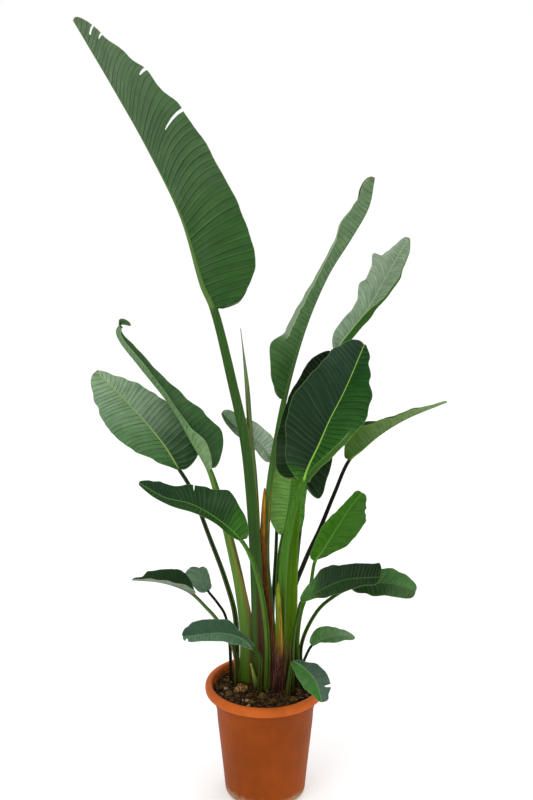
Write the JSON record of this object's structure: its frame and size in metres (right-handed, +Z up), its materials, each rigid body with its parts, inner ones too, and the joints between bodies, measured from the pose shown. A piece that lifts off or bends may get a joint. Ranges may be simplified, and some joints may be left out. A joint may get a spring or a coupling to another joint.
{
  "type": "potted bird of paradise plant",
  "caption": "Young giant bird of paradise in a tapered nursery pot: long channelled stalks rise from the soil and open into broad, folded, torn-edged leaves.",
  "frame": {"origin": "middle of the pot's flat underside", "axes": "+Z up the plant, -Y towards the side that the picture shows, +X to its right"},
  "size_m": [0.732, 0.2648, 1.6458],
  "materials": {
    "pot": "satin terracotta-coloured plastic",
    "soil": "dark peaty potting mix, matt",
    "leaf_mid": "waxy mid-green leaf",
    "leaf_dark": "waxy deep green leaf",
    "leaf_grey": "waxy grey-green leaf with a bloom",
    "leaf_lime": "waxy yellow-green leaf lit through",
    "sheath_dry": "dry fibrous old leaf sheath",
    "sheath_green": "yellow-green living sheath"
  },
  "bodies": {
    "root": {"pot": "pot", "soil": "soil", "giant_leaf": "leaf_mid", "curled_leaf": "leaf_mid", "pale_leaf": "leaf_grey", "broad_leaf": "leaf_dark", "dark_leaf": "leaf_dark", "drooping_leaf": "leaf_lime", "lime_leaf": "leaf_lime", "right_leaf": "leaf_dark", "far_right_leaf": "leaf_mid", "small_right_leaf": "leaf_mid", "low_right_leaf": "leaf_mid", "rolled_leaf": "leaf_mid", "sheen_leaf": "leaf_grey", "left_front_leaf": "leaf_dark", "low_left_leaf": "leaf_dark", "left_pale_leaf": "leaf_grey", "left_round_leaf": "leaf_grey", "behind_left_leaf": "leaf_grey", "light_leaf": "leaf_lime", "orange_sheath": "sheath_dry", "green_sheath": "sheath_green", "fibrous_sheath": "sheath_dry", "spear": "leaf_mid", "stub": "sheath_green"}
  },
  "joints": []
}
